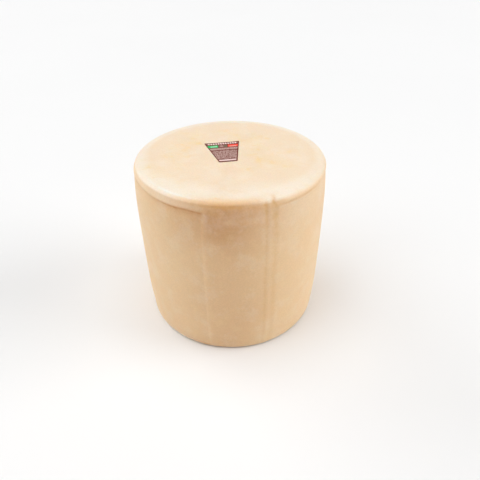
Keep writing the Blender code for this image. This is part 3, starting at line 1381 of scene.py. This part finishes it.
    def pale_ring(self, at: SkinPoints) -> np.ndarray:
        """The ring on the face itself: wider towards the front, yellower on the lip beside the seams, with
        painted shade at its right edge.

        Args:
            at: the drum's points.

        Returns:
            Strengths from 0 to 1.
        """
        towards_front = 0.5 + 0.5 * np.cos(np.radians(at.angle + 105.0))
        width = (12.0 + 60.0 * towards_front ** 4) * MM
        inner = self.rim_r - width + 2.0 * MM * at.breaks
        ring = ease(at.radius, inner, inner + 0.75 * width)
        beside = at.radius * np.radians(apart(at.angle, -105.0))
        ring = np.maximum(ring, 0.55 * hump(np.hypot(at.radius - 89.0 * MM, beside), 25.0 * MM))
        outer = ease(at.radius, self.rim_r - 18.0 * MM, self.rim_r - 8.0 * MM)
        yellower = 0.5 * self.golden_lip.share(at) + 0.12 * at.near(*self.lip_place)
        # Painted shade: the ring is weaker at the right edge.
        return ring * (1.0 - 0.4 * at.near(-20.0, 32.0) - outer * yellower)

    def brow_highlight_mask(self, at: SkinPoints) -> np.ndarray:
        """A painted highlight: a thin pale line along the brow of the bevel, from 0 to 1."""
        line = hump(at.radius - self.rim_r + 5.0 * MM, 2.7 * MM) * at.upper
        return 0.75 * line * at.near(self.brow, 17.0)

    def stain_and_shade_mask(self, at: SkinPoints) -> np.ndarray:
        """Yellow-brown under the shoulder, strongest between the band's ends: partly a real stain, partly
        painted shade at the front.

        Args:
            at: the drum's points.

        Returns:
            Strengths from 0 to 1.
        """
        level = 4.2 * MM + 0.8 * MM * at.wobble
        strip = hump(at.below - level, 3.4 * MM)
        # Painted shade and stain: the front hump darkens the shoulder's foot.
        front = 0.07 + 0.42 * at.near(*self.front_stain_and_shade_place)
        return np.clip(strip * front * (1.0 + 0.3 * at.breaks), 0.0, 1.0)

    def side_shade_mask(self, at: SkinPoints) -> np.ndarray:
        """Painted shade on the side: strongest at the front from the rim down and fading lower, weaker near
        the far right, with a slow random change of tone.

        Args:
            at: the drum's points.

        Returns:
            Strengths from 0 to 1.
        """
        beside = 1.2 * at.near(-89.0, 9.0) + at.near(-113.5, 7.0)
        over = at.radius - self.rim_r + at.below + 3.0 * MM * beside
        # Painted shade: the front of the side is darker from the rim down, fading lower.
        front = 0.87 * at.near(*self.front_side_shade_place) * ease(over, -5.0 * MM, 9.0 * MM)
        front *= 0.8 + 0.2 * at.past(-111.0, -1.2, 1.2)
        front *= 1.0 - 0.75 * at.deeper(12.0, 100.0)
        # Painted shade near the far right edge of the side.
        right = 0.18 * at.near(*self.right_side_shade_place) * at.deeper(10.0, 34.0)
        front += right * (1.0 - 0.6 * at.deeper(60.0, 200.0))
        clouds = 1.0 + 0.12 * self.lumps.at(at.points)
        return np.clip(front * clouds + 0.1 * self.slow.at(at.points), 0.0, 1.0)

    def pale_mask(self, at: SkinPoints) -> np.ndarray:
        """Pale areas of the side: a patch at the band's end, painted light on a field beside the seams, and
        all the back.

        Args:
            at: the drum's points.

        Returns:
            Strengths, mostly from 0 to 1.
        """
        length = at.deeper(15.0, 19.0) * (1.0 - at.deeper(28.0, 38.0))
        under_edge = at.deeper(11.0, 14.0) * (1.0 - at.deeper(30.0, 80.0))
        back = 0.6 * (1.0 - ease(np.abs(apart(at.angle, self.back)), 84.0, 104.0))
        back *= ease(at.from_face, 11.0 * MM, 14.0 * MM)
        # Painted light: the field under the band's edge beside the seams is paler.
        return at.near(self.fold, 1.7) * length + at.near(*self.lit_field_place) * under_edge + back

    def patch_mask(self, at: SkinPoints) -> np.ndarray:
        """Where the upper face is yellower.

        Args:
            at: the drum's points.

        Returns:
            Strengths, mostly from 0 to 1.
        """
        total = np.zeros_like(at.x)
        for across, up, size, strength in self.patches:
            away = np.hypot(at.x - across * MM, at.y - up * MM)
            total = np.maximum(total, strength * hump(away, size * MM))
        return total * at.upper

    def build(self, finish: bpy.types.Material) -> bpy.types.Object:
        """Build the drum's skin.

        Args:
            finish: the rind.

        Returns:
            The drum.
        """
        rings = self.profile.rings()
        angle, ring = np.meshgrid(self.angles(), np.arange(len(rings)))
        columns = (rings[ring, column] for column in range(4))
        at = SkinPoints(self.height, angle, *columns, self.wobble, self.breaks)
        offset, masks = self.relief(at)
        turn = np.radians(angle)
        reach = at.radius + offset * at.outward
        height = np.clip(at.z + offset * at.upward, 0.0, self.height)
        points = np.stack([reach * np.cos(turn), reach * np.sin(turn), height], axis=-1).reshape(-1, 3)
        drum = self.skin(points, *angle.shape)
        for name, mask in masks.items():
            self.paint(drum.data, name, mask)
        drum.data.materials.append(finish)
        return drum

    def skin(self, points: np.ndarray, rows: int, columns: int) -> bpy.types.Object:
        """Join the rings to each other and to a middle point on each face.

        Args:
            points: the rings' points, ring by ring.
            rows: how many rings there are.
            columns: how many points a ring has.

        Returns:
            The closed mesh's object.
        """
        number = np.arange(rows * columns).reshape(rows, columns)
        after = np.roll(number, -1, axis=1)
        quads = np.stack([number[:-1], number[1:], after[1:], after[:-1]], axis=-1).reshape(-1, 4)
        top, foot = rows * columns, rows * columns + 1
        fans = [(top, int(a), int(b)) for a, b in zip(number[0], after[0])]
        fans += [(foot, int(b), int(a)) for a, b in zip(number[-1], after[-1])]
        dip = float(self.face_dip(np.zeros(1), np.zeros(1))[0])
        ends = [(0.0, 0.0, self.height - dip), (0.0, 0.0, 0.0)]
        mesh = bpy.data.meshes.new("cheese_drum")
        mesh.from_pydata(points.tolist() + ends, [], quads.tolist() + fans)
        mesh.shade_smooth()
        return put_in_scene("cheese_drum", mesh)

    def paint(self, mesh: bpy.types.Mesh, name: str, mask: np.ndarray) -> None:
        """Store a mask on the mesh, with the two middle points bare.

        Args:
            mesh: the drum's mesh.
            name: the mask's name.
            mask: its strengths, ring by ring.
        """
        layer = mesh.attributes.new(name, "FLOAT", "POINT")
        values = np.concatenate([mask.ravel(), [0.0, 0.0]]).astype(np.float32)
        layer.data.foreach_set("value", values)


@dataclass
class Label:
    """Thin paper trapezium that follows the face, with corners that lift a little."""

    low: Vector
    high: Vector
    bottom_width: float = 30.2 * MM
    corner: float = 1.2 * MM
    corner_loss: float = 0.25
    thickness: float = 0.12 * MM
    clearance: float = 0.03 * MM
    lift: float = 0.34 * MM
    cockle: float = 0.04 * MM
    columns: int = 56
    rows: int = 64

    @property
    def centre(self) -> Vector:
        """The label's middle, at the height of the face."""
        return 0.5 * (self.low + self.high)

    @property
    def height(self) -> float:
        """The label's length from its lower edge to its upper one."""
        return self.high.y - self.low.y

    @property
    def top_width(self) -> float:
        """The full width at the upper edge, before its corners are rounded."""
        return self.high.x - self.low.x + 2.0 * self.corner * self.corner_loss

    @property
    def mean_width(self) -> float:
        """The width at mid-height."""
        return 0.5 * (self.top_width + self.bottom_width)

    @property
    def lean(self) -> float:
        """How far each side leans out for each step up."""
        return 0.5 * (self.top_width - self.bottom_width) / self.height

    def half_width(self, up: np.ndarray) -> np.ndarray:
        """Half the width at a place up the label, less at its rounded corners.

        Args:
            up: positions from the middle.

        Returns:
            Half widths.
        """
        from_end = np.clip(0.5 * self.height - np.abs(up), 0.0, self.corner)
        inset = self.corner - np.sqrt(np.clip(self.corner ** 2 - (self.corner - from_end) ** 2, 0.0, None))
        return 0.5 * self.mean_width + self.lean * up - inset

    def build(self, drum: Drum, printed: bpy.types.Material, paper: bpy.types.Material) -> bpy.types.Object:
        """Build the label.

        Args:
            drum: the drum that it lies on.
            printed: the printed side's finish.
            paper: the finish of the cut edge and the underside.

        Returns:
            The label.
        """
        share = np.linspace(-1.0, 1.0, self.rows)
        up = 0.5 * self.height * np.sin(0.5 * math.pi * share)
        across, up = np.meshgrid(np.linspace(-1.0, 1.0, self.columns), up)
        x = across * self.half_width(up)
        centre = self.centre
        dip = drum.face_dip(x + centre.x, up + centre.y)
        corners = ease(np.abs(across), 0.55, 1.0) * ease(np.abs(up) / (0.5 * self.height), 0.6, 1.0)
        waves = 0.5 + 0.5 * np.sin(up / (9.0 * MM) + 2.0 * across)
        clear = self.clearance + self.lift * corners + self.cockle * waves
        mesh = self.sheet(x, up, drum.height - dip + clear - centre.z)
        label = put_in_scene("label_sheet", mesh)
        label.location = centre
        mesh.materials.append(printed)
        mesh.materials.append(paper)
        return label

    def sheet(self, x: np.ndarray, y: np.ndarray, under: np.ndarray) -> bpy.types.Mesh:
        """Close the paper between its two faces, with the print on the first slot.

        Args:
            x: positions across.
            y: positions up.
            under: heights of the underside.

        Returns:
            The mesh.
        """
        rows, columns = x.shape
        size = rows * columns
        lower = np.stack([x, y, under], axis=-1).reshape(-1, 3)
        upper = lower + (0.0, 0.0, self.thickness)
        number = np.arange(size).reshape(rows, columns)
        cells = np.stack([number[:-1, :-1], number[:-1, 1:], number[1:, 1:], number[1:, :-1]], axis=-1)
        cells = cells.reshape(-1, 4)
        edge = np.concatenate([number[0, :-1], number[:-1, -1], number[-1, :0:-1], number[:0:-1, 0]])
        after = np.roll(edge, -1)
        rim = np.stack([edge, after, after + size, edge + size], axis=-1)
        faces = (cells + size).tolist() + cells[:, ::-1].tolist() + rim.tolist()
        mesh = bpy.data.meshes.new("label_sheet")
        mesh.from_pydata(np.concatenate([lower, upper]).tolist(), [], faces)
        slots = np.array([0] * len(cells) + [1] * (len(cells) + len(rim)), dtype=np.int32)
        mesh.polygons.foreach_set("material_index", slots)
        smooth = np.array([True] * (2 * len(cells)) + [False] * len(rim))
        mesh.polygons.foreach_set("use_smooth", smooth)
        return mesh


@dataclass(frozen=True)
class ViewPoint:
    """Where the camera stands and how it looks, in degrees and metres, with its lens in millimetres."""

    place: tuple[float, float, float] = (-0.09716, -0.65228, 0.61948)
    azimuth: float = -9.844
    pitch: float = 36.816
    roll: float = -0.524
    lens: float = 31.956
    film_width: float = 36.0

    def build(self) -> bpy.types.Object:
        """Make the camera and set it as the scene's.

        Returns:
            The camera.
        """
        turn, tilt, roll = (math.radians(v) for v in (self.azimuth, self.pitch, self.roll))
        back = Vector((math.sin(turn) * math.cos(tilt), -math.cos(turn) * math.cos(tilt), math.sin(tilt)))
        right = Vector((math.cos(turn), math.sin(turn), 0.0))
        up = back.cross(right)
        across = math.cos(roll) * right + math.sin(roll) * up
        above = math.cos(roll) * up - math.sin(roll) * right
        data = bpy.data.cameras.new("camera")
        data.sensor_width = self.film_width
        data.lens = self.lens
        camera = put_in_scene("camera", data)
        axes = Matrix((across, above, back)).transposed()
        camera.matrix_world = Matrix.Translation(self.place) @ axes.to_4x4()
        bpy.context.scene.camera = camera
        return camera


@dataclass(frozen=True)
class FarLight:
    """A wide soft light from far away, with the same strength everywhere."""

    name: str
    way: tuple[float, float, float]
    spread: float
    power: float

    def build(self) -> bpy.types.Object:
        """Make the light.

        Returns:
            The light.
        """
        data = bpy.data.lights.new(self.name, "SUN")
        data.energy = self.power
        data.angle = math.radians(self.spread)
        light = put_in_scene(self.name, data)
        light.rotation_euler = Vector(self.way).to_track_quat("Z", "Y").to_euler()
        return light


@dataclass
class Studio:
    """Plain pale floor, dim daylight all round and four wide lights.

    Sky is the daylight's strength, and sky seen is how bright it looks behind the part.
    """

    shelf: EffectShelf
    floor_half: float = 12.0
    sky: float = 0.15
    sky_seen: float = 0.97
    lights: tuple[FarLight, ...] = (
        FarLight("top_light", (0.0, 0.0, 1.0), 50.0, 1.43),
        FarLight("right_light", (0.911, -0.177, 0.375), 40.0, 1.42),
        FarLight("left_light", (-0.696, -0.123, 0.707), 50.0, 0.85),
        FarLight("back_light", (-0.656, 0.656, 0.375), 40.0, 0.80),
    )

    def build(self) -> None:
        """Lay the floor, set the daylight and place the lights."""
        self.lay_floor()
        self.set_daylight()
        for light in self.lights:
            light.build()
        bpy.context.scene.view_settings.view_transform = "Standard"

    def lay_floor(self) -> None:
        """Lay one wide square under the part."""
        half = self.floor_half
        corners = [(-half, -half, 0.0), (half, -half, 0.0), (half, half, 0.0), (-half, half, 0.0)]
        mesh = bpy.data.meshes.new("floor")
        mesh.from_pydata(corners, [], [(0, 1, 2, 3)])
        mesh.materials.append(FloorFinish().build(self.shelf))
        put_in_scene("floor", mesh)

    def set_daylight(self) -> None:
        """Light the scene dimly from all round, with a pale ground behind it."""
        world = bpy.data.worlds.new("daylight")
        world.use_nodes = True
        bench = NodeBench(world.node_tree)
        seen = bench.place("ShaderNodeLightPath").outputs["Is Camera Ray"]
        bench.fill(world.node_tree.nodes["Background"], Color=(1.0, 1.0, 1.0, 1.0),
                   Strength=bench.between(seen, self.sky, self.sky_seen))
        bpy.context.scene.world = world


def report(piece: bpy.types.Object) -> None:
    """Log a piece's name, size and face count."""
    size = ", ".join(f"{1000.0 * side:.1f}" for side in piece.dimensions)
    log.info("%s: %s mm, %d faces", piece.name, size, len(piece.data.polygons))


def main() -> None:
    """Build the camera, the pieces and the studio in order."""
    ViewPoint().build()
    shelf = EffectShelf()
    drum = Drum(*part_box("cheese_wheel"))
    cheese = drum.build(RindFinish().build(shelf))
    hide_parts("cheese_wheel")
    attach(cheese, "root")
    report(cheese)
    label = Label(*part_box("paper_label"))
    sheet = label.build(drum, PrintFinish().build(shelf, label), PaperFinish().build(shelf))
    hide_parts("paper_label")
    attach(sheet, "root")
    report(sheet)
    Studio(shelf).build()


if __name__ == "__main__":
    main()
